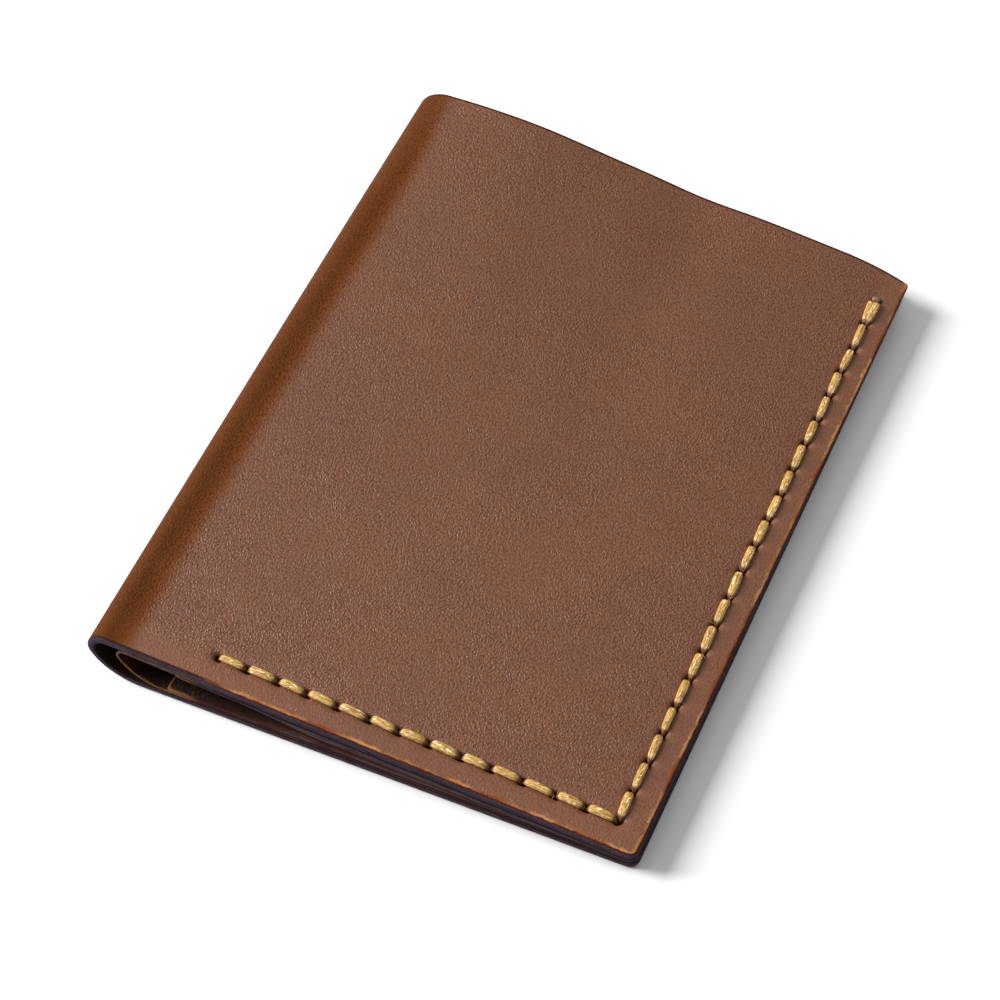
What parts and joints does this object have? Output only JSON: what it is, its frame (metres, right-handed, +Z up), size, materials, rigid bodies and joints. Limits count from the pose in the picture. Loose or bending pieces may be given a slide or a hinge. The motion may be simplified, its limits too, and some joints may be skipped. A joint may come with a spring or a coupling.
{
  "type": "folding card holder",
  "caption": "Folding leather card holder: stitched halves with a card pocket each, joined by a rounded spine with a loose liner.",
  "frame": {"origin": "centre of the footprint of the closed holder, on the surface its back half rests on", "axes": "+X from the spine to the free edges, +Y from the stitched bottom edge to the open top edge, +Z up through the closed halves"},
  "size_m": [0.078, 0.1008, 0.014],
  "materials": {
    "shell_leather": "semi-matt mid-brown leather with a fine pebbled grain and painted cut edges",
    "liner_leather": "thin matt brown leather",
    "waxed_thread": "flat waxed golden thread"
  },
  "bodies": {
    "back_half": {"shell_back": "shell_leather", "liner_back": "liner_leather", "pocket_back": "shell_leather", "edge_seam_back": "waxed_thread", "pocket_seam_back": "waxed_thread"},
    "spine_lower": {"shell_spine_lower": "shell_leather", "liner_spine_lower": "liner_leather"},
    "spine_upper": {"shell_spine_upper": "shell_leather", "liner_spine_upper": "liner_leather"},
    "front_half": {"shell_front": "shell_leather", "liner_front": "liner_leather", "pocket_front": "shell_leather", "edge_seam_front": "waxed_thread", "pocket_seam_front": "waxed_thread"}
  },
  "joints": [
    {"name": "back_fold", "type": "hinge", "parent": "back_half", "child": "spine_lower", "pos_m": [-0.03555, 0.0004, 0], "axis": [0, -1, 0], "range_deg": [0, 64.5]},
    {"name": "spine_fold", "type": "hinge", "parent": "spine_lower", "child": "spine_upper", "pos_m": [-0.03862, 0.0004, 0.00843], "axis": [0, -1, 0], "range_deg": [0, 53]},
    {"name": "front_fold", "type": "hinge", "parent": "spine_upper", "child": "front_half", "pos_m": [-0.03617, 0.0004, 0.01161], "axis": [0, -1, 0], "range_deg": [0, 53]}
  ],
  "couplings": [
    {"joint": "back_fold", "follows": "front_fold", "ratio": 1.2147},
    {"joint": "spine_fold", "follows": "front_fold", "ratio": 1}
  ]
}
